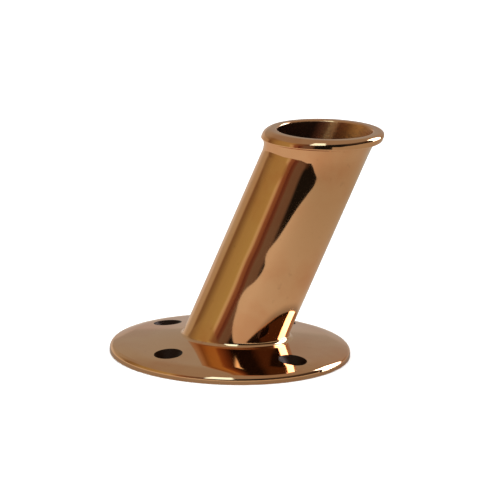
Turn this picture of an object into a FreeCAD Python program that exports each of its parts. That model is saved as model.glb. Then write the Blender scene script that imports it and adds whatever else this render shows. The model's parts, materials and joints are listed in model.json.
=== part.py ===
import FreeCAD, Part
import math
import os
import Sketcher

# Raked tubular base for a stanchion or staff, fabricated in bronze.  Millimetres.
# Origin: centre of the flange's flat underside.  +Z is up, away from the deck.
# The tube leans towards +X, so the XZ plane is the plane of the rake.  Its axis crosses the
# flange's own axis at mid thickness, the axis crossing height.
# "Along the tube" distances run up the tube's own axis from the level of the underside.

Vector = FreeCAD.Vector
Y_AXIS = Vector(0, 1, 0)
Z_AXIS = Vector(0, 0, 1)

DIMENSIONS = [
    # the flange: a round plate whose top rises to the tube as a shallow cone and rolls over at the rim
    ("flange_diameter", 70.0),
    ("flange_side_height", 1.1),
    ("flange_shoulder_radius", 1.6),
    ("flange_edge_radius", 20.0),
    ("flange_edge_start", 29.5),
    ("flange_slope", 7.0),
    ("flange_lower_chamfer", 0.25),
    # four countersunk fixing holes marked out by hand, each by its distance from the centre
    # and its angle from the rake; the two under the lean are spread to clear the tube
    ("fixing_hole_diameter", 4.6),
    ("fixing_head_diameter", 8.2),
    ("front_left_distance", 25.9),
    ("front_left_angle", 224.4),
    ("rear_left_distance", 25.0),
    ("rear_left_angle", 137.7),
    ("front_right_distance", 28.0),
    ("front_right_angle", 309.5),
    ("rear_right_distance", 26.0),
    ("rear_right_angle", 52.0),
    # the tube: 1 1/8 in outside with a 0.058 in wall, to take a 1 in stanchion
    ("rake_angle", 21.7),
    ("axis_crossing_height", 2.0),
    ("tube_diameter", 28.575),
    ("tube_wall", 1.47),
    ("rim_height", 67.0),
    ("tube_foot_recess", 0.2),
    ("mouth_round", 0.45),
    # the bead around the mouth, level like the mouth itself
    ("bead_height", 3.0),
    ("bead_projection", 2.0),
    ("bead_upper_radius", 1.7),
    ("bead_lower_radius", 0.6),
    # fillets of filler metal at the brazed seams
    ("foot_fillet_radius", 1.3),
    # the rim's is a long cove, pushed over away from the lean by this share of its projection
    ("rim_fillet_projection", 0.8),
    ("rim_fillet_drop", 4.0),
    ("rim_fillet_offset", 0.75),
    ("boss_fillet_radius", 1.7),
    # the disc the stanchion stands on, square to the tube, let into a counterbore from below
    ("stop_height", 6.6),
    ("stop_thickness", 2.0),
    ("stop_dish_diameter", 25.8),
    ("stop_dish_depth", 0.3),
    ("stop_diameter", 26.4),
    ("stop_drain_diameter", 6.0),
    ("stop_seam_leg", 0.9),
    # the set screw and its boss, on the +Y side of the tube
    ("screw_height", 44.0),
    ("screw_diameter", 6.0),
    ("screw_length", 6.0),
    ("screw_pitch", 1.0),
    ("screw_clearance", 0.05),
    ("screw_setback", 0.35),
    ("screw_end_chamfer", 0.7),
    ("thread_depth", 0.54),
    ("thread_width", 0.8),
    ("thread_start", 1.2),
    ("thread_overrun", 0.1),
    ("screw_key_width", 3.0),
    ("screw_key_depth", 3.0),
    ("boss_diameter", 12.0),
    ("boss_face", 17.6),
    ("boss_chamfer", 0.6),
]

# the centre of the arc that rolls the flange's top over, and the cone's height carried on to the axis
WORKED_OUT = [
    ("edge_centre_distance", "=flange_edge_start - flange_edge_radius * sin(flange_slope * 1 deg)"),
    (
        "edge_centre_height",
        "=flange_side_height - sqrt((flange_edge_radius - flange_shoulder_radius) ^ 2"
        " - (flange_diameter / 2 - flange_shoulder_radius - edge_centre_distance) ^ 2)",
    ),
    (
        "flange_apex_height",
        "=edge_centre_height + flange_edge_radius * cos(flange_slope * 1 deg)"
        " + flange_edge_start * tan(flange_slope * 1 deg)",
    ),
]

doc = FreeCAD.newDocument("stanchion_base")
sheet = doc.addObject("Spreadsheet::Sheet", "Dimensions")
for row, (alias, value) in enumerate(DIMENSIONS + WORKED_OUT, start=1):
    sheet.set("A%d" % row, alias)
    sheet.set("B%d" % row, str(value))
    sheet.setAlias("B%d" % row, alias)
doc.recompute()


def size(alias):
    """A driving dimension, read back from the sheet."""
    return float(sheet.get(alias))


def bind(feature, **expressions):
    """Ties a feature's properties to the sheet; two underscores in a path stand for a dot."""
    for path, expression in expressions.items():
        feature.setExpression(path.replace("__", "."), expression)


def points_along(edge):
    """Points spread over an edge; none on the edge of no length at a surface's pole."""
    return edge.discretize(24) if edge.Length > 1e-3 else []


def is_level(edge, height):
    """Whether an edge lies wholly at one height."""
    points = points_along(edge)
    return bool(points) and all(abs(point.z - height) < 1e-4 for point in points)


def new_body(label):
    body = doc.addObject("PartDesign::Body", label)
    body.Label = label
    return body


def origin_plane(body, role):
    return [plane for plane in body.Origin.OriginFeatures if plane.Role == role][0]


def sketch_on(body, role, name):
    sketch = body.newObject("Sketcher::SketchObject", name)
    sketch.AttachmentSupport = [(origin_plane(body, role), "")]
    sketch.MapMode = "FlatFace"
    return sketch


def draw_closed(sketch, elements, smooth=()):
    """Adds a closed outline, each element ending where the next starts.

    smooth lists the places of the elements that run on tangentially into the next.
    """
    drawn = [sketch.addGeometry(element, False) for element in elements]
    for place, (element, following) in enumerate(zip(drawn, drawn[1:] + drawn[:1])):
        meeting = "Tangent" if place in smooth else "Coincident"
        sketch.addConstraint(Sketcher.Constraint(meeting, element, 2, following, 1))
    return drawn


def drive(sketch, name, constraint, expression):
    """Adds a dimension to a sketch under a name, and ties it to an expression."""
    index = sketch.addConstraint(Sketcher.Constraint(*constraint))
    sketch.renameConstraint(index, name)
    sketch.setExpression("Constraints." + name, expression)


def arc_between(centre, radius, first, last):
    """An arc for a sketch, drawn anticlockwise between two angles in radians."""
    return Part.ArcOfCircle(Part.Circle(centre, Z_AXIS, radius), first, last)


def draw_circle(sketch, name, diameter_expression):
    """A circle about the sketch's own origin."""
    circle = sketch.addGeometry(Part.Circle(Vector(0, 0, 0), Z_AXIS, 1.0), False)
    sketch.addConstraint(Sketcher.Constraint("Coincident", circle, 3, -1, 1))
    drive(sketch, name, ("Diameter", circle, 2.0), diameter_expression)


def axis_x(height):
    """Expression for how far towards +X the tube's axis has leaned at a height above the deck."""
    return "(%s - Dimensions.axis_crossing_height) * tan(Dimensions.rake_angle * 1 deg)" % height


def axis_point(height):
    """The point of the tube's axis at a height above the deck."""
    reach = (height - size("axis_crossing_height")) * math.tan(math.radians(size("rake_angle")))
    return Vector(reach, 0, height)


def lean(feature, along="0"):
    """Stands a feature on the tube's axis, the given distance along the tube."""
    feature.Placement = FreeCAD.Placement(Vector(0, 0, 0), FreeCAD.Rotation(Y_AXIS, 10))
    bind(
        feature,
        Placement__Rotation__Angle="Dimensions.rake_angle * 1 deg",
        Placement__Base__x="%s + (%s) * sin(Dimensions.rake_angle * 1 deg)" % (axis_x("0"), along),
        Placement__Base__z="(%s) * cos(Dimensions.rake_angle * 1 deg)" % along,
    )


# Part-workbench helpers: expression-bound primitives and their booleans.
def leaning_cylinder(name, radius):
    """A long round bar on the tube's axis, reaching well past both ends of the tube."""
    bar = doc.addObject("Part::Cylinder", name)
    lean(bar, "-Dimensions.rim_height")
    bind(bar, Radius=radius, Height="3 * Dimensions.rim_height")
    return bar


def cut(name, base, tool):
    result = doc.addObject("Part::Cut", name)
    result.Base = base
    result.Tool = tool
    return result


# ---------------------------------------------------------------- flange
def make_flange():
    """Turned plate, flat below and a shallow cone above, with the tube's hole and four fixing holes."""
    body = new_body("flange")
    sketch = sketch_on(body, "XZ_Plane", "flange_profile")
    radius = size("flange_diameter") / 2
    side_top = size("flange_side_height")
    shoulder_radius = size("flange_shoulder_radius")
    edge_radius = size("flange_edge_radius")
    slope = math.radians(size("flange_slope"))
    chamfer = size("flange_lower_chamfer")
    apex = size("flange_apex_height")
    edge_centre = Vector(size("edge_centre_distance"), size("edge_centre_height"), 0)
    shoulder_centre = Vector(radius - shoulder_radius, side_top, 0)
    between = shoulder_centre - edge_centre
    roll = math.atan2(between.y, between.x)
    cone_foot = Vector(size("flange_edge_start"), apex - size("flange_edge_start") * math.tan(slope), 0)
    bottom, bevel, side, shoulder, edge, cone, axis = draw_closed(
        sketch,
        [
            Part.LineSegment(Vector(0, 0, 0), Vector(radius - chamfer, 0, 0)),
            Part.LineSegment(Vector(radius - chamfer, 0, 0), Vector(radius, chamfer, 0)),
            Part.LineSegment(Vector(radius, chamfer, 0), Vector(radius, side_top, 0)),
            arc_between(shoulder_centre, shoulder_radius, 0, roll),
            arc_between(edge_centre, edge_radius, roll, math.pi / 2 - slope),
            Part.LineSegment(cone_foot, Vector(0, apex, 0)),
            Part.LineSegment(Vector(0, apex, 0), Vector(0, 0, 0)),
        ],
        smooth=(3, 4),
    )
    for constraint in (
        ("Coincident", bottom, 1, -1, 1),
        ("Horizontal", bottom),
        ("Vertical", side),
        ("Vertical", axis),
        ("Horizontal", shoulder, 3, shoulder, 1),
    ):
        sketch.addConstraint(Sketcher.Constraint(*constraint))
    for name, constraint, expression in (
        ("radius", ("DistanceX", -1, 1, side, 1, radius), "Dimensions.flange_diameter / 2"),
        ("side_top", ("DistanceY", -1, 1, side, 2, side_top), "Dimensions.flange_side_height"),
        ("chamfer_x", ("DistanceX", bottom, 2, side, 1, chamfer), "Dimensions.flange_lower_chamfer"),
        ("chamfer_y", ("DistanceY", bottom, 2, side, 1, chamfer), "Dimensions.flange_lower_chamfer"),
        ("shoulder", ("Radius", shoulder, shoulder_radius), "Dimensions.flange_shoulder_radius"),
        ("edge", ("Radius", edge, edge_radius), "Dimensions.flange_edge_radius"),
        ("edge_start", ("DistanceX", -1, 1, cone, 1, cone_foot.x), "Dimensions.flange_edge_start"),
        ("slope", ("Angle", cone, math.pi - slope), "180 deg - Dimensions.flange_slope * 1 deg"),
    ):
        drive(sketch, name, constraint, expression)
    disc = body.newObject("PartDesign::Revolution", "flange_disc")
    disc.Profile = sketch
    disc.ReferenceAxis = (sketch, ["V_Axis"])
    disc.Angle = 360.0
    doc.recompute()

    seat = body.newObject("PartDesign::SubtractiveCylinder", "tube_hole")
    lean(seat, "-Dimensions.rim_height")
    bind(seat, Radius="Dimensions.tube_diameter / 2", Height="2 * Dimensions.rim_height")
    doc.recompute()

    for place in ("front_left", "rear_left", "front_right", "rear_right"):
        drill_fixing_hole(body, place)
    return body


def drill_fixing_hole(body, place):
    """One fixing hole with its 90 degree countersink, turned about its own upright axis."""
    sketch = sketch_on(body, "XZ_Plane", place + "_section")
    # the sketch's plane turned about the flange's axis to face the hole
    sketch.AttachmentOffset = FreeCAD.Placement(Vector(0, 0, 0), FreeCAD.Rotation(Y_AXIS, 10))
    bind(sketch, AttachmentOffset__Rotation__Angle="Dimensions.%s_angle * 1 deg" % place)
    distance = size(place + "_distance")
    hole = size("fixing_hole_diameter") / 2
    head = size("fixing_head_diameter") / 2
    mouth = size("flange_apex_height") - distance * math.tan(math.radians(size("flange_slope")))
    over = head
    under = -hole
    corners = [
        Vector(distance, under, 0),
        Vector(distance + hole, under, 0),
        Vector(distance + hole, mouth - (head - hole), 0),
        Vector(distance + head + over, mouth + over, 0),
        Vector(distance, mouth + over, 0),
    ]
    floor, wall, sink, lid, axis = draw_closed(
        sketch, [Part.LineSegment(start, end) for start, end in zip(corners, corners[1:] + corners[:1])]
    )
    for constraint in (
        ("Horizontal", floor),
        ("Vertical", wall),
        ("Horizontal", lid),
        ("Vertical", axis),
        ("Angle", sink, math.pi / 4),
    ):
        sketch.addConstraint(Sketcher.Constraint(*constraint))
    for name, constraint, expression in (
        ("distance", ("DistanceX", -1, 1, floor, 1, distance), "Dimensions.%s_distance" % place),
        ("hole", ("DistanceX", floor, 1, floor, 2, hole), "Dimensions.fixing_hole_diameter / 2"),
        ("under", ("DistanceY", floor, 1, -1, 1, hole), "Dimensions.fixing_hole_diameter / 2"),
        (
            "lid_height",
            ("DistanceY", -1, 1, lid, 1, mouth + over),
            "Dimensions.flange_apex_height + Dimensions.fixing_head_diameter / 2"
            " - Dimensions.%s_distance * tan(Dimensions.flange_slope * 1 deg)" % place,
        ),
        ("lid_width", ("DistanceX", lid, 2, lid, 1, head + over), "Dimensions.fixing_head_diameter"),
    ):
        drive(sketch, name, constraint, expression)
    turning_axis = sketch.addGeometry(
        Part.LineSegment(Vector(distance, under, 0), Vector(distance, mouth, 0)), True
    )
    sketch.addConstraint(Sketcher.Constraint("Coincident", turning_axis, 1, floor, 1))
    sketch.addConstraint(Sketcher.Constraint("Vertical", turning_axis))
    drilling = body.newObject("PartDesign::Groove", place + "_hole")
    drilling.Profile = sketch
    drilling.ReferenceAxis = (sketch, ["Axis0"])
    drilling.Angle = 360.0
    doc.recompute()


# ---------------------------------------------------------------- socket tube
def make_socket_tube():
    """Drawn tube, cut level at the mouth and again just short of the flange's underside."""
    outside = leaning_cylinder("tube_outside", "Dimensions.tube_diameter / 2")
    inside = leaning_cylinder("tube_inside", "Dimensions.tube_diameter / 2 - Dimensions.tube_wall")
    slab = doc.addObject("Part::Box", "tube_slab")
    bind(
        slab,
        Length="4 * Dimensions.rim_height",
        Width="4 * Dimensions.rim_height",
        Height="Dimensions.rim_height - Dimensions.tube_foot_recess",
        Placement__Base__x="-2 * Dimensions.rim_height",
        Placement__Base__y="-2 * Dimensions.rim_height",
        Placement__Base__z="Dimensions.tube_foot_recess",
    )
    # the counterbore that takes the stop disc, from the lower end up to the disc's top
    counterbore = doc.addObject("Part::Cylinder", "tube_counterbore")
    lean(counterbore, "-Dimensions.rim_height")
    bind(
        counterbore,
        Radius="Dimensions.stop_diameter / 2",
        Height="Dimensions.rim_height + Dimensions.stop_height + Dimensions.stop_thickness",
    )
    level = doc.addObject("Part::Common", "tube_levelled")
    level.Base = cut("tube_stepped", cut("tube_bored", outside, inside), counterbore)
    level.Tool = slab
    screw_way = doc.addObject("Part::Cylinder", "tube_screw_way")
    screw_way.Placement = FreeCAD.Placement(Vector(0, 0, 0), FreeCAD.Rotation(Vector(1, 0, 0), -90))
    bind(
        screw_way,
        Radius="Dimensions.screw_diameter / 2 + Dimensions.screw_clearance",
        Height="2 * Dimensions.tube_diameter",
        Placement__Base__x=axis_x("Dimensions.screw_height"),
        Placement__Base__z="Dimensions.screw_height",
    )
    pierced = cut("tube_pierced", level, screw_way)
    doc.recompute()
    # the mouth's inner edge: level with the rim and no further from the axis than the bore
    rim = size("rim_height")
    middle = axis_point(rim)
    bore = size("tube_diameter") / 2 - size("tube_wall")
    mouth_edges = []
    for number, edge in enumerate(pierced.Shape.Edges, start=1):
        if not is_level(edge, rim):
            continue
        nearest = min((point - middle).Length for point in points_along(edge))
        if abs(nearest - bore) < size("tube_wall") / 2:
            mouth_edges.append((number, size("mouth_round"), size("mouth_round")))
    tube = doc.addObject("Part::Fillet", "socket_tube")
    tube.Base = pierced
    tube.Edges = mouth_edges
    tube.Label = "socket_tube"
    doc.recompute()
    return tube


# ---------------------------------------------------------------- rings that follow the level mouth
def shear_to_rake():
    """The map that turns a circle about Z into the tube's own level section at every height."""
    rake = math.radians(size("rake_angle"))
    matrix = FreeCAD.Matrix()
    matrix.A11 = 1 / math.cos(rake)
    matrix.A13 = math.tan(rake)
    matrix.A14 = -size("axis_crossing_height") * math.tan(rake)
    return matrix


def bar_on_axis(radius, top):
    """A plain solid bar on the tube's axis, cut level at z = 0 and z = top."""
    rake = math.radians(size("rake_angle"))
    axis = Vector(math.sin(rake), 0, math.cos(rake))
    bar = Part.makeCylinder(radius, 3 * top, axis_point(0) + axis * -top, axis)
    return bar.common(Part.makeBox(4 * top, 4 * top, top, Vector(-2 * top, -2 * top, 0)))


def ring_on_tube(label, outline):
    """A ring around the tube whose level section follows the tube's own.

    outline is a closed wire in the XZ plane, drawn as for an upright tube; its inner side lies
    inside the wall, and what lies there is trimmed away.
    """
    upright = Part.Face(Part.Wire(outline)).revolve(Vector(0, 0, 0), Z_AXIS, 360)
    leaning = upright.transformGeometry(shear_to_rake())
    ring = doc.addObject("Part::Feature", label)
    ring.Label = label
    ring.Shape = leaning.cut(bar_on_axis(size("tube_diameter") / 2, 2 * size("rim_height")))
    ring.Placement = FreeCAD.Placement()
    return ring


def corner_arc(centre, radius, first, last):
    """An arc in the XZ plane between two directions, in degrees from +X towards +Z."""
    points = []
    for angle in (first, (first + last) / 2, last):
        turn = math.radians(angle)
        points.append(centre + Vector(radius * math.cos(turn), 0, radius * math.sin(turn)))
    return Part.Arc(*points).toShape()


def make_rim_bead():
    """Rounded band around the mouth, brazed on and dressed level with the tube's end."""
    inner = size("tube_diameter") / 2
    outer = inner + size("bead_projection")
    top = size("rim_height")
    bottom = top - size("bead_height")
    upper = size("bead_upper_radius")
    lower = size("bead_lower_radius")
    buried = inner - size("tube_wall") / 2
    return ring_on_tube(
        "rim_bead",
        [
            Part.makeLine(Vector(buried, 0, bottom), Vector(outer - lower, 0, bottom)),
            corner_arc(Vector(outer - lower, 0, bottom + lower), lower, -90, 0),
            Part.makeLine(Vector(outer, 0, bottom + lower), Vector(outer, 0, top - upper)),
            corner_arc(Vector(outer - upper, 0, top - upper), upper, 0, 90),
            Part.makeLine(Vector(outer - upper, 0, top), Vector(buried, 0, top)),
            Part.makeLine(Vector(buried, 0, top), Vector(buried, 0, bottom)),
        ],
    )


def make_rim_fillet():
    """Long cove of filler metal under the bead, dressed by hand: fullest on the side away from the lean."""
    inner = size("tube_diameter") / 2
    foot = size("rim_height") - size("bead_height") - size("rim_fillet_drop")
    drop = size("rim_fillet_drop")
    projection = size("rim_fillet_projection")
    # level sections through the cove, whose wall is an arc that leaves the tube tangentially
    radius = (drop ** 2 + projection ** 2) / (2 * projection)
    sections = []
    for step in range(6):
        rise = drop * step / 5
        reach = radius - math.sqrt(radius ** 2 - rise ** 2)
        offset = Vector(-size("rim_fillet_offset") * reach, 0, 0)
        long_half = (inner + reach) / math.cos(math.radians(size("rake_angle")))
        level = Part.Ellipse(axis_point(foot + rise) + offset, long_half, inner + reach)
        sections.append(Part.Wire(level.toShape()))
    ring = doc.addObject("Part::Feature", "rim_fillet")
    ring.Label = "rim_fillet"
    ring.Shape = Part.makeLoft(sections, True).cut(bar_on_axis(inner, 2 * size("rim_height")))
    ring.Placement = FreeCAD.Placement()
    return ring


# ---------------------------------------------------------------- fillets of filler metal
def seam_fillet(label, first, second, radius, keep):
    """The metal a rolling ball of the given radius leaves in the corner where two solids meet."""
    joined = first.fuse(second)
    seam = first.section(second)
    corner = []
    for edge in joined.Edges:
        middle = edge.valueAt((edge.FirstParameter + edge.LastParameter) / 2)
        on_seam = seam.distToShape(Part.Vertex(middle))[0] < 1e-3
        if on_seam and keep(middle):
            corner.append(edge)
    filled = joined.makeFillet(radius, corner)
    ring = filled.cut(joined)
    feature = doc.addObject("Part::Feature", label)
    feature.Label = label
    feature.Shape = ring
    feature.Placement = FreeCAD.Placement()
    return feature


def make_foot_fillet(flange_plate):
    """Fillet between the flange, before its holes were drilled, and the tube."""
    return seam_fillet(
        "foot_fillet",
        flange_plate,
        bar_on_axis(size("tube_diameter") / 2, size("rim_height")),
        size("foot_fillet_radius"),
        lambda point: point.z > size("flange_side_height"),
    )


# ---------------------------------------------------------------- the stop inside the foot
def make_stop_disc():
    """Round floor square to the tube, dished and drained, for the stanchion's end to stand on."""
    body = new_body("stop_disc")
    lean(body, "Dimensions.stop_height")
    sketch = sketch_on(body, "XY_Plane", "stop_outline")
    draw_circle(sketch, "edge", "Dimensions.stop_diameter")
    draw_circle(sketch, "drain", "Dimensions.stop_drain_diameter")
    pad = body.newObject("PartDesign::Pad", "stop_pad")
    pad.Profile = sketch
    bind(pad, Length="Dimensions.stop_thickness")
    doc.recompute()
    dish_outline = sketch_on(body, "XY_Plane", "stop_dish_outline")
    draw_circle(dish_outline, "edge", "Dimensions.stop_dish_diameter")
    dish_outline.AttachmentOffset = FreeCAD.Placement(Vector(0, 0, 1), FreeCAD.Rotation())
    bind(dish_outline, AttachmentOffset__Base__z="Dimensions.stop_thickness")
    dish = body.newObject("PartDesign::Pocket", "stop_dish")
    dish.Profile = dish_outline
    bind(dish, Length="Dimensions.stop_dish_depth")
    doc.recompute()
    return body


def make_stop_seam():
    """Hollow-faced seam of filler metal under the stop disc, in the corner with the counterbore."""
    body = new_body("stop_seam")
    lean(body, "Dimensions.stop_height")
    sketch = sketch_on(body, "XZ_Plane", "stop_seam_section")
    bore = size("stop_diameter") / 2
    leg = size("stop_seam_leg")
    upper, wall, face = draw_closed(
        sketch,
        [
            Part.LineSegment(Vector(bore - leg, 0, 0), Vector(bore, 0, 0)),
            Part.LineSegment(Vector(bore, 0, 0), Vector(bore, -leg, 0)),
            arc_between(Vector(bore - leg, -leg, 0), leg, 0, math.pi / 2),
        ],
    )
    for constraint in (
        ("PointOnObject", upper, 1, -1),
        ("Horizontal", upper),
        ("Vertical", wall),
        ("Vertical", face, 3, upper, 1),
    ):
        sketch.addConstraint(Sketcher.Constraint(*constraint))
    for name, constraint, expression in (
        ("bore", ("DistanceX", -1, 1, wall, 1, bore), "Dimensions.stop_diameter / 2"),
        ("leg", ("Radius", face, leg), "Dimensions.stop_seam_leg"),
        ("drop", ("DistanceY", wall, 2, wall, 1, leg), "Dimensions.stop_seam_leg"),
    ):
        drive(sketch, name, constraint, expression)
    ring = body.newObject("PartDesign::Revolution", "stop_seam_ring")
    ring.Profile = sketch
    ring.ReferenceAxis = (sketch, ["V_Axis"])
    ring.Angle = 360.0
    doc.recompute()
    return body


# ---------------------------------------------------------------- set screw and its boss
def face_away(body, start):
    """Points a body's own Z axis along +Y at the set screw's height on the tube.

    start is the expression for how far along Y the body begins.
    """
    body.Placement = FreeCAD.Placement(Vector(0, 0, 0), FreeCAD.Rotation(Vector(1, 0, 0), -90))
    bind(
        body,
        Placement__Base__x=axis_x("Dimensions.screw_height"),
        Placement__Base__y=start,
        Placement__Base__z="Dimensions.screw_height",
    )


def make_screw_boss():
    """Round boss whose back is hollowed to sit on the tube, drilled through for the set screw."""
    body = new_body("screw_boss")
    face_away(body, "0 mm")
    sketch = sketch_on(body, "XY_Plane", "boss_outline")
    draw_circle(sketch, "edge", "Dimensions.boss_diameter")
    draw_circle(sketch, "way", "Dimensions.screw_diameter + 2 * Dimensions.screw_clearance")
    pad = body.newObject("PartDesign::Pad", "boss_pad")
    pad.Profile = sketch
    bind(pad, Length="Dimensions.boss_face")
    doc.recompute()
    rims = []
    for number, edge in enumerate(pad.Shape.Edges, start=1):
        if not is_level(edge, size("boss_face")):
            continue
        outermost = max(math.hypot(point.x, point.y) for point in points_along(edge))
        if abs(outermost - size("boss_diameter") / 2) < 1e-3:
            rims.append("Edge%d" % number)
    chamfer = body.newObject("PartDesign::Chamfer", "boss_edge")
    chamfer.Base = (pad, rims)
    bind(chamfer, Size="Dimensions.boss_chamfer")
    doc.recompute()
    # the saddle: the tube's outside, taken out of the boss's back (body Z runs along +Y)
    saddle = body.newObject("PartDesign::SubtractiveCylinder", "boss_saddle")
    saddle.Placement = FreeCAD.Placement(
        Vector(0, 0, 0),
        FreeCAD.Rotation(Z_AXIS, size("rake_angle")) * FreeCAD.Rotation(Vector(1, 0, 0), 90),
    )
    bind(
        saddle,
        Radius="Dimensions.tube_diameter / 2",
        Height="4 * Dimensions.boss_diameter",
        Placement__Base__x="-2 * Dimensions.boss_diameter * sin(Dimensions.rake_angle * 1 deg)",
        Placement__Base__y="2 * Dimensions.boss_diameter * cos(Dimensions.rake_angle * 1 deg)",
    )
    doc.recompute()
    return body


def make_boss_fillet():
    """Fillet around the boss's foot on the tube."""
    rim = size("rim_height")
    height = size("screw_height")
    post = Part.makeCylinder(
        size("boss_diameter") / 2, size("boss_face") - size("boss_chamfer"), axis_point(height), Y_AXIS
    )
    return seam_fillet(
        "boss_fillet",
        bar_on_axis(size("tube_diameter") / 2, rim),
        post,
        size("boss_fillet_radius"),
        lambda point: point.y > 0,
    )


def make_set_screw():
    """Grub screw: cup point, thread cut as a row of V grooves, hexagon socket in its outer end."""
    body = new_body("set_screw")
    bore = "(Dimensions.tube_diameter / 2 - Dimensions.tube_wall)"
    face_away(body, "%s + Dimensions.screw_setback" % bore)
    radius = size("screw_diameter") / 2
    length = size("screw_length")
    pitch = size("screw_pitch")
    sketch = sketch_on(body, "XY_Plane", "screw_outline")
    draw_circle(sketch, "edge", "Dimensions.screw_diameter")
    pad = body.newObject("PartDesign::Pad", "screw_pad")
    pad.Profile = sketch
    bind(pad, Length="Dimensions.screw_length")
    doc.recompute()
    ends = []
    for number, edge in enumerate(pad.Shape.Edges, start=1):
        if is_level(edge, 0) or is_level(edge, length):
            ends.append("Edge%d" % number)
    chamfer = body.newObject("PartDesign::Chamfer", "screw_ends")
    chamfer.Base = (pad, ends)
    bind(chamfer, Size="Dimensions.screw_end_chamfer")
    doc.recompute()

    # the cup in the point
    cup = body.newObject("PartDesign::SubtractiveCone", "screw_cup")
    bind(
        cup,
        Radius1="Dimensions.screw_diameter / 4",
        Radius2="Dimensions.screw_diameter / 16",
        Height="Dimensions.screw_diameter / 8",
    )
    # the hexagon socket
    key = sketch_on(body, "XY_Plane", "key_outline")
    corner = size("screw_key_width") / math.sqrt(3)
    corners = []
    for side in range(6):
        turn = math.radians(60 * side)
        corners.append(Vector(corner * math.cos(turn), corner * math.sin(turn), 0))
    around = key.addGeometry(Part.Circle(Vector(0, 0, 0), Z_AXIS, corner), True)
    key.addConstraint(Sketcher.Constraint("Coincident", around, 3, -1, 1))
    sides = []
    for side in range(6):
        sides.append(key.addGeometry(Part.LineSegment(corners[side], corners[(side + 1) % 6]), False))
    for side in range(6):
        key.addConstraint(Sketcher.Constraint("Coincident", sides[side], 2, sides[(side + 1) % 6], 1))
        key.addConstraint(Sketcher.Constraint("PointOnObject", sides[side], 1, around))
        if side:
            key.addConstraint(Sketcher.Constraint("Equal", sides[0], sides[side]))
    key.addConstraint(Sketcher.Constraint("PointOnObject", sides[0], 1, -1))
    drive(
        key,
        "across_corners",
        ("Diameter", around, 2 * corner),
        "2 * Dimensions.screw_key_width / sqrt(3)",
    )
    key.AttachmentOffset = FreeCAD.Placement(Vector(0, 0, length), FreeCAD.Rotation())
    bind(key, AttachmentOffset__Base__z="Dimensions.screw_length")
    socket = body.newObject("PartDesign::Pocket", "screw_socket")
    socket.Profile = key
    bind(socket, Length="Dimensions.screw_key_depth")
    doc.recompute()

    # one thread groove, repeated every pitch
    groove_sketch = sketch_on(body, "XZ_Plane", "thread_section")
    first = size("thread_start")
    width = size("thread_width")
    clear = radius + size("thread_overrun")
    root = Vector(radius - size("thread_depth"), first, 0)
    above = Vector(clear, first + width / 2, 0)
    below = Vector(clear, first - width / 2, 0)
    triangle = [
        groove_sketch.addGeometry(Part.LineSegment(start, end), False)
        for start, end in ((root, above), (above, below), (below, root))
    ]
    for side in range(3):
        groove_sketch.addConstraint(
            Sketcher.Constraint("Coincident", triangle[side], 2, triangle[(side + 1) % 3], 1)
        )
    groove_sketch.addConstraint(Sketcher.Constraint("Vertical", triangle[1]))
    groove_sketch.addConstraint(Sketcher.Constraint("Equal", triangle[0], triangle[2]))
    for name, constraint, expression in (
        (
            "root",
            ("DistanceX", -1, 1, triangle[0], 1, root.x),
            "Dimensions.screw_diameter / 2 - Dimensions.thread_depth",
        ),
        (
            "clear",
            ("DistanceX", -1, 1, triangle[1], 1, clear),
            "Dimensions.screw_diameter / 2 + Dimensions.thread_overrun",
        ),
        ("first", ("DistanceY", -1, 1, triangle[0], 1, first), "Dimensions.thread_start"),
        ("width", ("DistanceY", triangle[1], 2, triangle[1], 1, width), "Dimensions.thread_width"),
    ):
        drive(groove_sketch, name, constraint, expression)
    groove = body.newObject("PartDesign::Groove", "thread_groove")
    groove.Profile = groove_sketch
    groove.ReferenceAxis = (groove_sketch, ["V_Axis"])
    groove.Angle = 360.0
    doc.recompute()
    turns = int((length - 2 * first) / pitch + 1.001)
    thread = body.newObject("PartDesign::LinearPattern", "thread_grooves")
    thread.Originals = [groove]
    thread.Direction = (groove_sketch, ["V_Axis"])
    thread.Length = (turns - 1) * pitch
    thread.Occurrences = turns
    body.Tip = thread
    doc.recompute()
    return body


# ---------------------------------------------------------------- build, check and write
parts = [
    make_flange(),
    make_socket_tube(),
    make_rim_bead(),
    make_rim_fillet(),
    make_foot_fillet(doc.getObject("flange_disc").Shape),
    make_stop_disc(),
    make_stop_seam(),
    make_screw_boss(),
    make_boss_fillet(),
    make_set_screw(),
]
doc.recompute()

for thing in doc.Objects:
    if "Invalid" in thing.State or "Error" in thing.State:
        raise SystemExit("%s failed to recompute: %s" % (thing.Name, thing.State))
for part in parts:
    if part.Shape.isNull() or not part.Shape.isValid() or len(part.Shape.Solids) != 1:
        raise SystemExit("%s is not one valid solid" % part.Label)

os.makedirs("parts", exist_ok=True)
for part in parts:
    part.Shape.exportStep(os.path.join("parts", part.Label + ".step"))
    print("%-12s %9.1f mm3" % (part.Label, part.Shape.Volume))
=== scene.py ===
import json
import math

import bpy
from mathutils import Matrix, Vector


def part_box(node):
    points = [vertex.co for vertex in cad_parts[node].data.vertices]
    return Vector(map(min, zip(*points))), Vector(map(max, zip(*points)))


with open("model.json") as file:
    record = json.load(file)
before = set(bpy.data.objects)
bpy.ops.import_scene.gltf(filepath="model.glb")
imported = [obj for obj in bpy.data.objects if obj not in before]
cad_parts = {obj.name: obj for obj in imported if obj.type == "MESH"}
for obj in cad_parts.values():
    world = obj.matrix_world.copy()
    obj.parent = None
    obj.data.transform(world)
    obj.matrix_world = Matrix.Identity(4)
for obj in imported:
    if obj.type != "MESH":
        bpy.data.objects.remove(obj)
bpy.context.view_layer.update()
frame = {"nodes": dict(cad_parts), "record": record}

# Lengths are in metres; MM turns a length in millimetres into one.
MM = 0.001
TO_DEGREES = 180 / math.pi
nodes = frame["nodes"]
scene = bpy.context.scene

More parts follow.
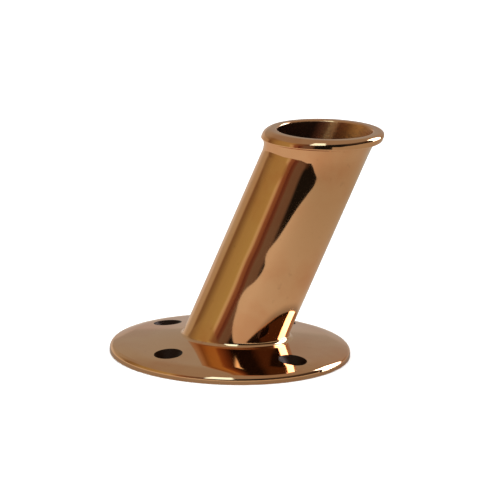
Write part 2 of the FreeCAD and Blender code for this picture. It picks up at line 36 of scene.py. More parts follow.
# ---------------------------------------------------------------- places read from the frame
mounts = {mount["name"]: mount for mount in frame["record"]["mounts"]}
stanchion_socket = mounts["stanchion_socket"]
tube_axis = Vector(stanchion_socket["axis"]).normalized()
socket_point = Vector(stanchion_socket["pos_m"])
# where the tube's axis passes the level of the flange's underside
axis_foot = socket_point - tube_axis * (socket_point.z / tube_axis.z)
bore_radius = stanchion_socket["dims"]["r_mm"] * MM
# square to the tube's axis, towards the side it leans over
across_axis = Vector((tube_axis.z, 0.0, -tube_axis.x))
tube_low, tube_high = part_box("socket_tube")
tube_radius = (tube_high[1] - tube_low[1]) / 2
mouth_height = tube_high[2]
flange_low, flange_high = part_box("flange")
flange_radius = (flange_high[0] - flange_low[0]) / 2
flange_top = flange_high[2]
screw_low, screw_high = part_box("set_screw")


# ---------------------------------------------------------------- building shader graphs
class Graph:
    """Adds shader nodes to one node tree; every method that makes a value returns its output."""

    def __init__(self, tree):
        self.tree = tree

    def add(self, kind, **settings):
        """A new node of this kind, with its settings."""
        node = self.tree.nodes.new(kind)
        for name, value in settings.items():
            setattr(node, name, value)
        return node

    def plug(self, target, value):
        """Joins an input to an output, or gives it a plain value."""
        if isinstance(value, bpy.types.NodeSocket):
            self.tree.links.new(value, target)
        else:
            target.default_value = value

    def math(self, operation, first, second=0.0, clamp=False):
        node = self.add("ShaderNodeMath", operation=operation, use_clamp=clamp)
        self.plug(node.inputs[0], first)
        self.plug(node.inputs[1], second)
        return node.outputs[0]

    def product(self, first, *others):
        """All the values multiplied together."""
        for other in others:
            first = self.math("MULTIPLY", first, other)
        return first

    def between(self, value, low, high):
        """low where value is 0, high where it is 1, in a straight line."""
        return self.math("ADD", self.math("MULTIPLY", value, high - low), low)

    def vector(self, operation, first, second=(0.0, 0.0, 0.0)):
        node = self.add("ShaderNodeVectorMath", operation=operation)
        self.plug(node.inputs[0], first)
        self.plug(node.inputs[1], second)
        return node.outputs["Vector"]

    def dot(self, first, second):
        node = self.add("ShaderNodeVectorMath", operation="DOT_PRODUCT")
        self.plug(node.inputs[0], first)
        self.plug(node.inputs[1], second)
        return node.outputs["Value"]

    def scale(self, first, factor):
        node = self.add("ShaderNodeVectorMath", operation="SCALE")
        self.plug(node.inputs[0], first)
        self.plug(node.inputs["Scale"], factor)
        return node.outputs["Vector"]

    def length(self, first):
        node = self.add("ShaderNodeVectorMath", operation="LENGTH")
        self.plug(node.inputs[0], first)
        return node.outputs["Value"]

    def parts(self, vector):
        """The x, y and z of a vector."""
        node = self.add("ShaderNodeSeparateXYZ")
        self.plug(node.inputs[0], vector)
        return node.outputs[0], node.outputs[1], node.outputs[2]

    def join(self, x, y, z):
        """The vector with this x, y and z."""
        node = self.add("ShaderNodeCombineXYZ")
        for target, value in zip(node.inputs, (x, y, z)):
            self.plug(target, value)
        return node.outputs[0]

    def step(self, value, start, end):
        """0 up to start, 1 from end on, smooth between; falls with the value if end is the smaller."""
        node = self.add("ShaderNodeMapRange", interpolation_type="SMOOTHSTEP")
        self.plug(node.inputs["Value"], value)
        self.plug(node.inputs["From Min"], start)
        self.plug(node.inputs["From Max"], end)
        return node.outputs["Result"]

    def ramp(self, value, stops):
        """A colour for each value between 0 and 1, from (value, colour) stops."""
        node = self.add("ShaderNodeValToRGB")
        elements = node.color_ramp.elements
        while len(elements) < len(stops):
            elements.new(0.5)
        for element, (position, colour) in zip(elements, stops):
            element.position = position
            element.color = (*colour, 1.0)
        self.plug(node.inputs[0], value)
        return node.outputs["Color"]

    def curve(self, value, points):
        """A smooth curve through points, for a value between 0 and 1."""
        node = self.add("ShaderNodeFloatCurve")
        line = node.mapping.curves[0]
        line.points[0].location = points[0]
        line.points[1].location = points[-1]
        for point in points[1:-1]:
            line.points.new(*point)
        node.mapping.update()
        self.plug(node.inputs["Value"], value)
        return node.outputs["Value"]

    def blend(self, factor, first, second):
        """The first number where factor is 0, the second where it is 1."""
        node = self.add("ShaderNodeMix", data_type="FLOAT")
        self.plug(node.inputs[0], factor)
        self.plug(node.inputs[2], first)
        self.plug(node.inputs[3], second)
        return node.outputs[0]

    def mix(self, factor, first, second):
        """The first colour where factor is 0, the second where it is 1."""
        node = self.add("ShaderNodeMix", data_type="RGBA")
        self.plug(node.inputs[0], factor)
        for target, colour in ((node.inputs[6], first), (node.inputs[7], second)):
            if isinstance(colour, tuple):
                colour = (*colour, 1.0)
            self.plug(target, colour)
        return node.outputs[2]

    def noise(self, where, scale, detail, roughness):
        node = self.add("ShaderNodeTexNoise")
        self.plug(node.inputs["Vector"], where)
        self.plug(node.inputs["Scale"], scale)
        self.plug(node.inputs["Detail"], detail)
        self.plug(node.inputs["Roughness"], roughness)
        return node.outputs["Fac"]

    def bump(self, height, distance, normal=None):
        node = self.add("ShaderNodeBump")
        self.plug(node.inputs["Height"], height)
        self.plug(node.inputs["Distance"], distance)
        self.plug(node.inputs["Strength"], 1.0)
        if normal is not None:
            self.plug(node.inputs["Normal"], normal)
        return node.outputs["Normal"]


def new_material(name):
    """A material holding only a shader and an output; returns it with its graph and its shader."""
    material = bpy.data.materials.new(name)
    material.use_nodes = True
    return material, Graph(material.node_tree), material.node_tree.nodes["Principled BSDF"]


def set_metal(graph, shader, colour, roughness, normal, metallic=1.0, edge=None):
    """Gives a shader its look; edge is the colour it turns to where it is seen at a slant."""
    graph.plug(shader.inputs["Metallic"], metallic)
    graph.plug(shader.inputs["Base Color"], colour)
    graph.plug(shader.inputs["Roughness"], roughness)
    graph.plug(shader.inputs["Normal"], normal)
    if edge is not None:
        graph.plug(shader.inputs["Specular Tint"], (*edge, 1.0))


def turn_of(graph, sideways, forwards):
    """The bearing of a direction as a share of a full turn, 0.5 straight forwards."""
    bearing = graph.math("ARCTAN2", sideways, forwards)
    return graph.math("ADD", graph.math("DIVIDE", bearing, 2 * math.pi), 0.5)


def by_bearing(graph, turn, table):
    """A colour for each turn, from (degrees, colour) rows that run from -180 to 180."""
    return graph.ramp(turn, [((bearing + 180) / 360, colour) for bearing, colour in table])


# ---------------------------------------------------------------- colours and patterns of the metals
BRONZE = (0.86, 0.47, 0.235)
BRONZE_RED = (0.80, 0.37, 0.17)
BRONZE_TARNISHED = (0.42, 0.22, 0.11)
BRONZE_EDGE = (1.0, 0.96, 0.9)
AS_CAST_DARK = (0.30, 0.15, 0.07)
AS_CAST_LIGHT = (0.55, 0.31, 0.15)
# painted shade: the near-black of the fixing holes stands in for the dark they reflect
HOLE_PAINTED_SHADE = (0.035, 0.018, 0.012)
BRAZE = (0.87, 0.49, 0.25)
DISC_DARK = (0.28, 0.14, 0.07)
DISC_LIGHT = (0.52, 0.30, 0.15)
STEEL = (0.62, 0.62, 0.63)
THREAD_ROOT_DARK = (0.10, 0.09, 0.08)

# painted reflections and shade inside the tube, near-black on one side with a bright golden band, by
# degrees round its axis from the side away from the camera
BORE_PAINTED_REFLECTIONS = (
    (-180, (0.30, 0.15, 0.07)),
    (-60, (0.02, 0.01, 0.01)),
    (-8, (0.02, 0.01, 0.01)),
    (1, (0.28, 0.10, 0.05)),
    (7, (0.50, 0.22, 0.09)),
    (11, (1.0, 0.60, 0.26)),
    (17, (0.9, 0.45, 0.18)),
    (22, (0.30, 0.10, 0.03)),
    (34, (0.28, 0.10, 0.03)),
    (50, (0.62, 0.28, 0.10)),
    (80, (0.50, 0.24, 0.10)),
    (180, (0.30, 0.15, 0.07)),
)

# irregular patterns: (features in a metre, finer layers, strength of the finer layers)
BLOOM = (38.0, 4.0, 0.6)
FRECKLES = (420.0, 3.0, 0.65)
AS_CAST_MOTTLE = (160.0, 5.0, 0.7)
AS_CAST_GRAIN = (900.0, 4.0, 0.7)
SMEARS = (90.0, 3.0, 0.6)
RIPPLES = (55.0, 1.0, 0.5)
WHEEL_LINES = (2600.0, 3.0, 0.7)
BRAZE_BLOTCHES = (300.0, 4.0, 0.6)
BRAZE_LUMPS = (130.0, 2.0, 0.5)
BRAZE_PITS = (1500.0, 2.0, 0.5)
DISC_CLOUDS = (140.0, 5.0, 0.7)
SCREW_PATCHES = (700.0, 4.0, 0.7)
SCREW_TURNING = (9000.0, 2.0, 0.5)
FLOOR_MOTTLE = (25.0, 3.0, 0.5)
# how strong a pattern has to be to start to show, and to show in full
BLOOM_SHOWS = (0.4, 0.7)
FRECKLES_SHOW = (0.62, 0.78)
BRAZE_BLOTCHES_SHOW = (0.5, 0.75)
BRAZE_PITS_SHOW = (0.7, 0.8)

# How far the polishing wheel leans the tube's surface along its length, as
# (distance up the tube in mm, degrees towards the rim); it dives under the rim bead.
POLISH_LEAN = (
    (10, 0.0),
    (15, -1.0),
    (21, -2.1),
    (27, 0.0),
    (30, 0.3),
    (35, -1.65),
    (40, -0.8),
    (50, 0.0),
    (55, 1.2),
    (59, 2.2),
    (62, -1.0),
    (66, -10.0),
)
# the curve holds leans up to this many degrees either way, over this length of tube in mm
LEAN_LIMIT = 15.0
LEAN_LENGTH = 70.0
# close above the flange the wheel leans the surface up, by this much, dying out over this height
FOOT_LEAN = 6.0
FOOT_LEAN_REACH = 4 * MM
# below the flange's top that lean grows no further than this many times
FOOT_LEAN_MOST = 1.5


# ---------------------------------------------------------------- places on the metal
# Each pair is a start and an end for a step, so the mask fades from 0 to 1 between the two.
# distances out from the tube's axis
PAST_BORE = (tube_radius - 0.5 * MM, tube_radius - 0.3 * MM)
SHORT_OF_BEAD = (tube_radius + 0.8 * MM, tube_radius + 0.02 * MM)
WITHIN_WALL = (bore_radius + 0.6 * MM, bore_radius + 0.2 * MM)
PAST_FOOT_FILLET = (tube_radius + 2.0 * MM, tube_radius + 2.5 * MM)
# distance out from the middle of the flange
WITHIN_ROLLED_EDGE = (flange_radius - 3 * MM, flange_radius - 4 * MM)
# heights above the deck
BELOW_MOUTH = (mouth_height - 0.1 * MM, mouth_height - 0.6 * MM)
NEAR_DECK = (1.0 * MM, 0.3 * MM)
BELOW_FLANGE_TOP = (flange_top, flange_top - 0.5 * MM)
ON_FLANGE = (9 * MM, 6 * MM)
# distance up the tube, from its foot
DEEP_IN_BORE = (mouth_height + 2 * MM, mouth_height - 12 * MM)
# upward part of the surface's normal
FACING_DOWN = (-0.7, -0.95)
STEEP = (0.93, 0.88)


def along_and_out(graph, position):
    """Distance along the tube from the underside's level, and the vector out from the tube's axis."""
    from_foot = graph.vector("SUBTRACT", position, tuple(axis_foot))
    along = graph.dot(from_foot, tuple(tube_axis))
    out = graph.vector("SUBTRACT", from_foot, graph.scale(tuple(tube_axis), along))
    return along, out


def on_tube_outside(graph, out):
    """1 as far out as the tube's outer wall, fading out over the cove under the bead, 0 further in."""
    reach = graph.length(out)
    return graph.product(graph.step(reach, *PAST_BORE), graph.step(reach, *SHORT_OF_BEAD))


def inside_bore(graph, out, height):
    """1 inside the tube, up to just under the edge of the mouth, 0 elsewhere."""
    within_wall = graph.step(graph.length(out), *WITHIN_WALL)
    return graph.product(within_wall, graph.step(height, *BELOW_MOUTH))


def on_underside(graph, facing_up, height):
    """1 on what faces down just above the deck, 0 elsewhere."""
    return graph.product(graph.step(facing_up, *FACING_DOWN), graph.step(height, *NEAR_DECK))


def in_fixing_hole(graph, across, out, facing_up, height):
    """1 on the flange's steep faces between the foot fillet and the rolled edge: the fixing holes."""
    return graph.product(
        graph.step(facing_up, *STEEP),
        graph.step(across, *WITHIN_ROLLED_EDGE),
        graph.step(height, *BELOW_FLANGE_TOP),
        graph.step(graph.length(out), *PAST_FOOT_FILLET),
    )


# ---------------------------------------------------------------- polished bronze
STAIN_STRENGTH = 0.25
# how much of the bore's colour is the mottle of rough metal; the rest is its painted reflections and
# shade
BORE_MOTTLE = 0.08
# the bore is this much less than fully metallic
BORE_DULLNESS = 0.2
CLEAN_ROUGHNESS = 0.035
SMEARED_ROUGHNESS = 0.085
AS_CAST_ROUGHNESS = 0.2
DEEP_BORE_ROUGHNESS = 0.32
STAIN_ROUGHNESS = 0.25
# roughness raised in the fixing holes, alongside their painted shade
HOLE_ROUGHNESS_RISE = 0.4
# relief of the patterns, from their lowest to their highest
RIPPLE_RELIEF = 0.06 * MM
WHEEL_LINE_RELIEF = 0.0004 * MM
AS_CAST_RELIEF = 0.12 * MM
# where the wheel lines are cut through their pattern
WHEEL_LINE_ROW = 1.0 * MM


def bronze_colour(graph, position, out, stain, inside, raw, in_hole):
    """Bronze with a bloom of red and freckles; painted reflections and shade in the bore; painted shade
    in the fixing holes.
    """
    bloom = graph.step(graph.noise(position, *BLOOM), *BLOOM_SHOWS)
    polished = graph.mix(stain, graph.mix(bloom, BRONZE, BRONZE_RED), BRONZE_TARNISHED)
    as_cast = graph.mix(graph.noise(position, *AS_CAST_MOTTLE), AS_CAST_DARK, AS_CAST_LIGHT)
    turn = turn_of(graph, graph.dot(out, tuple(across_axis)), graph.dot(out, (0.0, 1.0, 0.0)))
    # the bore's colour is painted reflections and shade, set by bearing round the axis, with a little
    # mottle
    bore = graph.mix(BORE_MOTTLE, by_bearing(graph, turn, BORE_PAINTED_REFLECTIONS), as_cast)
    colour = graph.mix(raw, polished, graph.mix(inside, as_cast, bore))
    # the fixing holes are painted near-black: painted shade
    return graph.mix(in_hole, colour, HOLE_PAINTED_SHADE)


def bronze_roughness(graph, position, along, stain, raw, in_hole):
    """Nearly a mirror where polished, duller where smeared, stained or as cast."""
    smears = graph.noise(position, *SMEARS)
    polished = graph.between(smears, CLEAN_ROUGHNESS, SMEARED_ROUGHNESS)
    polished = graph.math("ADD", polished, graph.product(stain, STAIN_ROUGHNESS))
    deep = graph.step(along, *DEEP_IN_BORE)
    as_cast = graph.between(deep, AS_CAST_ROUGHNESS, DEEP_BORE_ROUGHNESS)
    roughness = graph.blend(raw, polished, as_cast)
    return graph.math("ADD", roughness, graph.product(in_hole, HOLE_ROUGHNESS_RISE))


def polished_normal(graph, along, out, height):
    """The surface's normal, leaning along the tube as the polishing wheel left it."""
    points = [(mm / LEAN_LENGTH, 0.5 + degrees / (2 * LEAN_LIMIT)) for mm, degrees in POLISH_LEAN]
    distance = graph.math("DIVIDE", along, LEAN_LENGTH * MM, clamp=True)
    lean = graph.math("SUBTRACT", graph.curve(distance, points), 0.5)
    lean = graph.product(lean, 2 * LEAN_LIMIT)
    above_flange = graph.math("SUBTRACT", height, flange_top)
    foot = graph.math("EXPONENT", graph.math("DIVIDE", above_flange, -FOOT_LEAN_REACH))
    foot = graph.math("MINIMUM", foot, FOOT_LEAN_MOST)
    lean = graph.math("ADD", lean, graph.product(foot, FOOT_LEAN))
    lean = graph.product(lean, math.radians(1.0), on_tube_outside(graph, out))
    geometry = graph.add("ShaderNodeNewGeometry")
    leaning = graph.vector("ADD", geometry.outputs["Normal"], graph.scale(tuple(tube_axis), lean))
    return graph.vector("NORMALIZE", leaning)


def bronze_normal(graph, position, along, out, across, height, raw):
    """Slow ripples and fine wheel lines on the polished metal, grain on the rough metal."""
    # wheel lines run round the tube, and round the flange
    line_place = graph.blend(graph.step(height, *ON_FLANGE), along, across)
    lines = graph.noise(graph.join(line_place, WHEEL_LINE_ROW, 0.0), *WHEEL_LINES)
    grain = graph.product(graph.noise(position, *AS_CAST_GRAIN), raw)
    normal = polished_normal(graph, along, out, height)
    normal = graph.bump(graph.noise(position, *RIPPLES), RIPPLE_RELIEF, normal)
    normal = graph.bump(lines, WHEEL_LINE_RELIEF, normal)
    return graph.bump(grain, AS_CAST_RELIEF, normal)


def make_bronze():
    """Mirror-polished bronze, dull as cast in the bore and underneath."""
    material, graph, shader = new_material("bronze_polished")
    geometry = graph.add("ShaderNodeNewGeometry")
    position = geometry.outputs["Position"]
    along, out = along_and_out(graph, position)
    x, y, height = graph.parts(position)
    across = graph.length(graph.join(x, y, 0.0))
    _, _, facing_up = graph.parts(geometry.outputs["Normal"])
    inside = inside_bore(graph, out, height)
    raw = graph.math("MAXIMUM", inside, on_underside(graph, facing_up, height))
    in_hole = in_fixing_hole(graph, across, out, facing_up, height)
    freckles = graph.step(graph.noise(position, *FRECKLES), *FRECKLES_SHOW)
    stain = graph.product(freckles, STAIN_STRENGTH)
    set_metal(
        graph,
        shader,
        colour=bronze_colour(graph, position, out, stain, inside, raw, in_hole),
        roughness=bronze_roughness(graph, position, along, stain, raw, in_hole),
        normal=bronze_normal(graph, position, along, out, across, height, raw),
        metallic=graph.between(inside, 1.0, 1.0 - BORE_DULLNESS),
        edge=BRONZE_EDGE,
    )
    return material


# ---------------------------------------------------------------- filler metal
BRAZE_CLEAN_ROUGHNESS = 0.04
BRAZE_BLOTCHED_ROUGHNESS = 0.12
PIT_TARNISH = 0.5
LUMP_RELIEF = 0.08 * MM
PIT_RELIEF = 0.01 * MM


def make_braze():
    """Filler metal, dressed with the tube: a paler gold, slightly lumpy, browner where flux burnt on."""
    material, graph, shader = new_material("braze_dressed")
    position = graph.add("ShaderNodeNewGeometry").outputs["Position"]
    blotches = graph.noise(position, *BRAZE_BLOTCHES)
    pits = graph.step(graph.noise(position, *BRAZE_PITS), *BRAZE_PITS_SHOW)
    colour = graph.mix(graph.step(blotches, *BRAZE_BLOTCHES_SHOW), BRAZE, BRONZE_RED)
    colour = graph.mix(graph.product(pits, PIT_TARNISH), colour, BRONZE_TARNISHED)
    normal = graph.bump(graph.noise(position, *BRAZE_LUMPS), LUMP_RELIEF)
    normal = graph.bump(graph.product(pits, -1.0), PIT_RELIEF, normal)
    set_metal(
        graph,
        shader,
        colour=colour,
        roughness=graph.between(blotches, BRAZE_CLEAN_ROUGHNESS, BRAZE_BLOTCHED_ROUGHNESS),
        normal=normal,
        edge=BRONZE_EDGE,
    )
    return material


# ---------------------------------------------------------------- turned stop disc
DISC_RING_PITCH = 0.35 * MM
DISC_RING_RELIEF = 0.006 * MM
DISC_ROUGHNESS = 0.2
DISC_CLOUDED_ROUGHNESS = 0.5


def make_turned_disc():
    """Turned bronze, left with the lathe's rings and dulled with age."""
    material, graph, shader = new_material("bronze_turned")
    position = graph.add("ShaderNodeNewGeometry").outputs["Position"]
    _, out = along_and_out(graph, position)
    rings = graph.math("SINE", graph.product(graph.length(out), 2 * math.pi / DISC_RING_PITCH))
    clouds = graph.noise(position, *DISC_CLOUDS)
    set_metal(
        graph,
        shader,
        colour=graph.mix(clouds, DISC_DARK, DISC_LIGHT),
        roughness=graph.between(clouds, DISC_ROUGHNESS, DISC_CLOUDED_ROUGHNESS),
        normal=graph.bump(rings, DISC_RING_RELIEF),
    )
    return material


# ---------------------------------------------------------------- stainless set screw
STEEL_ROUGHNESS = 0.18
STEEL_GRIMY_ROUGHNESS = 0.43
TURNING_RELIEF = 0.002 * MM
# how far below the crests the thread starts to turn darker, and is fully so
ROOT_DARK_START = 0.1 * MM
ROOT_DARK_FULL = 0.45 * MM


def make_steel():
    """Bright crests, thread roots darker in patches, fine turning marks round the screw's own axis."""
    material, graph, shader = new_material("stainless_steel")
    position = graph.add("ShaderNodeTexCoord").outputs["Object"]
    x, y, z = graph.parts(position)
    from_axis_x = graph.math("SUBTRACT", x, (screw_low[0] + screw_high[0]) / 2)
    from_axis_z = graph.math("SUBTRACT", z, (screw_low[2] + screw_high[2]) / 2)
    reach = graph.length(graph.join(from_axis_x, 0.0, from_axis_z))
    screw_radius = (screw_high[0] - screw_low[0]) / 2
    in_root = graph.step(reach, screw_radius - ROOT_DARK_START, screw_radius - ROOT_DARK_FULL)
    patches = graph.noise(position, *SCREW_PATCHES)
    turning = graph.noise(graph.join(reach, y, 0.0), *SCREW_TURNING)
    set_metal(
        graph,
        shader,
        # darker in patches in the thread roots
        colour=graph.mix(graph.product(in_root, patches), STEEL, THREAD_ROOT_DARK),
        roughness=graph.between(patches, STEEL_ROUGHNESS, STEEL_GRIMY_ROUGHNESS),
        normal=graph.bump(turning, TURNING_RELIEF),
    )
    return material


bronze = make_bronze()
braze = make_braze()
METALS = {
    "flange": bronze,
    "socket_tube": bronze,
    "rim_bead": bronze,
    "screw_boss": bronze,
    # its filler is polished over with the tube and doesn't show
    "rim_fillet": bronze,
    "foot_fillet": braze,
    "boss_fillet": braze,
    "stop_seam": braze,
    "stop_disc": make_turned_disc(),
    "set_screw": make_steel(),
}
for name, metal in METALS.items():
    nodes[name].data.materials.clear()
    nodes[name].data.materials.append(metal)

# ---------------------------------------------------------------- the studio the metal reflects
# Bearings are in degrees, 0 towards the camera's side (-Y) and growing towards +X.
WALLS = (
    (-180, (0.45, 0.45, 0.45)),
    (-154, (0.60, 0.58, 0.54)),
    (-140, (0.45, 0.42, 0.34)),
    (-124, (0.44, 0.40, 0.30)),
    (-117, (0.20, 0.13, 0.07)),
    (-110, (0.22, 0.16, 0.08)),
    (-92, (0.38, 0.32, 0.15)),
    (-64, (0.42, 0.37, 0.17)),
    (-59, (0.56, 0.52, 0.34)),
    (-55.5, (0.50, 0.40, 0.28)),
    (-52, (0.26, 0.13, 0.08)),
    (-46, (0.22, 0.10, 0.06)),
    (-43, (0.12, 0.04, 0.03)),
    (-38, (0.15, 0.07, 0.05)),
    (-34, (0.16, 0.12, 0.10)),
    (-20, (0.15, 0.11, 0.09)),
    (-14, (0.01, 0.01, 0.01)),
    (100, (0.01, 0.01, 0.01)),
    (134, (0.30, 0.22, 0.14)),
    (150, (0.37, 0.38, 0.38)),
    (180, (0.45, 0.45, 0.45)),
)
CEILING = (
    (-180, (0.36, 0.37, 0.36)),
    (-140, (0.38, 0.37, 0.32)),
    (-117, (0.24, 0.18, 0.10)),
    (-92, (0.38, 0.32, 0.15)),
    (-60, (0.42, 0.36, 0.18)),
    (-50, (0.25, 0.15, 0.08)),
    (-28, (0.12, 0.07, 0.05)),
    (-10, (0.01, 0.01, 0.01)),
    (30, (0.01, 0.01, 0.01)),
    (50, (0.07, 0.05, 0.035)),
    (100, (0.07, 0.05, 0.035)),
    (134, (0.40, 0.40, 0.40)),
    (180, (0.36, 0.37, 0.36)),
)
CEILING_TOP = (0.33, 0.31, 0.28)
GROUND = (
    (-180, (0.45, 0.45, 0.45)),
    (-140, (0.45, 0.42, 0.34)),
    (-110, (0.25, 0.17, 0.09)),
    (-60, (0.42, 0.37, 0.17)),
    (-50, (0.25, 0.15, 0.08)),
    (-34, (0.15, 0.11, 0.09)),
    (-20, (0.10, 0.06, 0.04)),
    (-10, (0.01, 0.01, 0.01)),
    (60, (0.01, 0.01, 0.01)),
    (80, (0.40, 0.40, 0.40)),
    (180, (0.45, 0.45, 0.45)),
)
# Lifts are in degrees above the level; one of these stretches blends into the next.
WALLS_TO_GROUND = (-7.0, -10.0)
WALLS_TO_CEILING = (9.0, 11.0)
CEILING_TO_TOP = (26.0, 40.0)
# in a reflection of a reflection the top starts higher
CEILING_TO_TOP_AGAIN = (60.0, 75.0)
# the softbox in front of the object: its light, and the bearings and lifts (degrees) it fills
SOFTBOX = (1.4, 2.2, 2.8)
SOFTBOX_SPAN = (-26, 2, 20, 62)
# only its middle carries on into a reflection of a reflection
SOFTBOX_MIDDLE_SPAN = (-19, -6, 28, 38)
# a bright window behind on the right, that lights the tube's foot
WINDOW = (7.0, 9.0, 12.0)
WINDOW_SPAN = (101, 130, -4, 38)
# degrees by which the edges of both are blurred
EDGE_BLUR = 2.0
# between the first reflection and the second
SECOND_REFLECTION = (1.4, 1.6)
WHITE = (1.0, 1.0, 1.0)


def box_mask(graph, bearing, lift, left, right, bottom, top):
    """1 inside a rectangle of directions, 0 outside, with blurred edges."""
    return graph.product(
        graph.step(bearing, left - EDGE_BLUR, left + EDGE_BLUR),
        graph.step(bearing, right + EDGE_BLUR, right - EDGE_BLUR),
        graph.step(lift, bottom - EDGE_BLUR, bottom + EDGE_BLUR),
        graph.step(lift, top + EDGE_BLUR, top - EDGE_BLUR),
    )


def make_world():
    """Plain white light, except in the metal's reflections, which show the studio."""
    world = bpy.data.worlds.new("studio")
    world.use_nodes = True
    graph = Graph(world.node_tree)
    x, y, z = graph.parts(graph.add("ShaderNodeTexCoord").outputs["Generated"])
    towards_camera = graph.product(y, -1.0)
    turn = turn_of(graph, x, towards_camera)
    bearing = graph.product(graph.math("ARCTAN2", x, towards_camera), TO_DEGREES)
    lift = graph.product(graph.math("ARCSINE", z), TO_DEGREES)
    light_path = graph.add("ShaderNodeLightPath")
    mirrored_again = graph.step(light_path.outputs["Glossy Depth"], *SECOND_REFLECTION)
    mirrored_once = graph.math("SUBTRACT", 1.0, mirrored_again)

    walls = by_bearing(graph, turn, WALLS)
    ceiling = by_bearing(graph, turn, CEILING)
    colour = graph.mix(graph.step(lift, *WALLS_TO_CEILING), walls, ceiling)
    top = graph.product(graph.step(lift, *CEILING_TO_TOP), mirrored_once)
    top = graph.math("MAXIMUM", top, graph.step(lift, *CEILING_TO_TOP_AGAIN))
    colour = graph.mix(top, colour, CEILING_TOP)
    softbox = graph.product(mirrored_once, box_mask(graph, bearing, lift, *SOFTBOX_SPAN))
    middle = graph.product(mirrored_again, box_mask(graph, bearing, lift, *SOFTBOX_MIDDLE_SPAN))
    colour = graph.mix(graph.math("ADD", softbox, middle), colour, SOFTBOX)
    colour = graph.mix(box_mask(graph, bearing, lift, *WINDOW_SPAN), colour, WINDOW)
    colour = graph.mix(graph.step(lift, *WALLS_TO_GROUND), colour, by_bearing(graph, turn, GROUND))
    colour = graph.mix(light_path.outputs["Is Glossy Ray"], WHITE, colour)
    graph.plug(world.node_tree.nodes["Background"].inputs["Color"], colour)
    return world


scene.world = make_world()


# ---------------------------------------------------------------- floor, sheet and lamp
def add_sheet(name, low_x, high_x, low_y, high_y, height, material):
    """A level rectangle."""
    corners = [
        (low_x, low_y, height),
        (high_x, low_y, height),
        (high_x, high_y, height),
        (low_x, high_y, height),
    ]
    mesh = bpy.data.meshes.new(name)
    mesh.from_pydata(corners, [], [(0, 1, 2, 3)])
    mesh.update()
    mesh.materials.append(material)
    sheet = bpy.data.objects.new(name, mesh)
    scene.collection.objects.link(sheet)
    return sheet


FLOOR_REACH = 3.0
FLOOR_DARK = (0.88, 0.88, 0.88)
FLOOR_LIGHT = (0.9, 0.9, 0.9)
FLOOR_ROUGHNESS = 0.9


def make_floor():
    """The floor the camera sees, left out of the metal's reflections."""
    surface_look, graph, shader = new_material("floor_paint")
    position = graph.add("ShaderNodeNewGeometry").outputs["Position"]
    mottle = graph.noise(position, *FLOOR_MOTTLE)
    graph.plug(shader.inputs["Base Color"], graph.mix(mottle, FLOOR_DARK, FLOOR_LIGHT))
    graph.plug(shader.inputs["Roughness"], FLOOR_ROUGHNESS)
    floor = add_sheet("floor", -FLOOR_REACH, FLOOR_REACH, -FLOOR_REACH, FLOOR_REACH, 0.0, surface_look)
    floor.visible_glossy = False
    return floor


# the sheet ends this far in front, and what is beyond it is dark
SHEET_FRONT = 215 * MM
SHEET_SIDE = 0.6
SHEET_HEIGHT = 0.1 * MM
# the sheet's glow, lighter on the left and dimmer on the right: painted light standing in for the lit
# floor
SHEET_LEFT = (0.62, 0.60, 0.55)
SHEET_RIGHT = (0.42, 0.40, 0.34)
# where across the sheet it turns from its left colour to its right one
SHEET_TURN = (-30 * MM, 110 * MM)
SHADOW = (0.08, 0.07, 0.06)
SHADOW_DEPTH = 0.55
# the flange's own shadow, from where it ends to where it is full, past the flange's edge
SHADOW_END = 8 * MM
SHADOW_FULL = 2 * MM


def make_sheet():
    """The pale sheet the metal sees under itself; it glows, painted light with a painted shadow round
    the flange, standing in for the lit floor; nothing but reflections shows it.
    """
    surface_look, graph, _ = new_material("sheet_glow")
    position = graph.add("ShaderNodeNewGeometry").outputs["Position"]
    x, _, _ = graph.parts(position)
    colour = graph.mix(graph.step(x, *SHEET_TURN), SHEET_LEFT, SHEET_RIGHT)
    shadow = graph.step(graph.length(position), flange_radius + SHADOW_END, flange_radius + SHADOW_FULL)
    colour = graph.mix(graph.product(shadow, SHADOW_DEPTH), colour, SHADOW)
    glow = graph.add("ShaderNodeEmission")
    graph.plug(glow.inputs["Color"], colour)
    graph.plug(surface_look.node_tree.nodes["Material Output"].inputs["Surface"], glow.outputs["Emission"])
    sheet = add_sheet(
        "sheet", -SHEET_SIDE, SHEET_SIDE, -SHEET_FRONT, 2 * SHEET_SIDE, SHEET_HEIGHT, surface_look
    )
    sheet.visible_camera = False
    sheet.visible_diffuse = False
    sheet.visible_shadow = False
    return sheet


LAMP_SIZE = 2.0
LAMP_HEIGHT = 1.6
LAMP_WATTS = 28.0


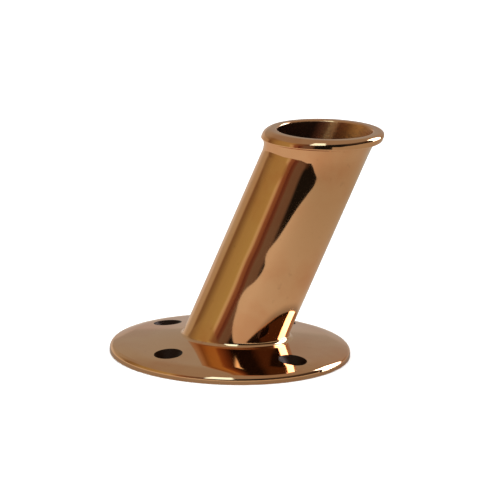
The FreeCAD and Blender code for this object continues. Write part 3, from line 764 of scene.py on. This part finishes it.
def make_lamp():
    """One broad soft light overhead, for the floor only."""
    light = bpy.data.lights.new("overhead", "AREA")
    light.shape = "SQUARE"
    light.size = LAMP_SIZE
    light.energy = LAMP_WATTS
    lamp = bpy.data.objects.new("overhead", light)
    scene.collection.objects.link(lamp)
    lamp.location = (0, 0, LAMP_HEIGHT)
    lamp.visible_glossy = False
    lamp.visible_camera = False
    return lamp


make_floor()
make_sheet()
make_lamp()
scene.view_settings.view_transform = "Standard"

# ---------------------------------------------------------------- camera
CAMERA_ELEVATION = math.radians(13.88)
CAMERA_TURN = math.radians(1.79)
CAMERA_ROLL = math.radians(1.518)
CAMERA_DISTANCE = 1166.7 * MM
CAMERA_TARGET = Vector((5.062 * MM, 0.0, 30.882 * MM))
SENSOR = 36.0
# a distance from the camera, divided by the width that fills the view there
VIEW_RATIO = 8.0624
NEAREST_SEEN = 0.01
FARTHEST_SEEN = 50.0


def make_camera():
    """A camera in front of the object and above it, moved a little to the left and rolled a little."""
    turn = Matrix.Rotation(-CAMERA_TURN, 4, "Z")
    back = Vector((0, -math.cos(CAMERA_ELEVATION), math.sin(CAMERA_ELEVATION)))
    place = turn @ (CAMERA_TARGET + back * CAMERA_DISTANCE)
    forward = turn.to_3x3() @ -back
    level_right = turn.to_3x3() @ Vector((1, 0, 0))
    level_up = level_right.cross(forward)
    right = math.cos(CAMERA_ROLL) * level_right + math.sin(CAMERA_ROLL) * level_up
    up = math.cos(CAMERA_ROLL) * level_up - math.sin(CAMERA_ROLL) * level_right
    lens = bpy.data.cameras.new("camera")
    lens.sensor_width = SENSOR
    lens.lens = SENSOR * VIEW_RATIO
    lens.clip_start = NEAREST_SEEN
    lens.clip_end = FARTHEST_SEEN
    camera = bpy.data.objects.new("camera", lens)
    scene.collection.objects.link(camera)
    camera.matrix_world = Matrix(
        (
            (right.x, up.x, -forward.x, place.x),
            (right.y, up.y, -forward.y, place.y),
            (right.z, up.z, -forward.z, place.z),
            (0, 0, 0, 1),
        )
    )
    return camera


scene.camera = make_camera()
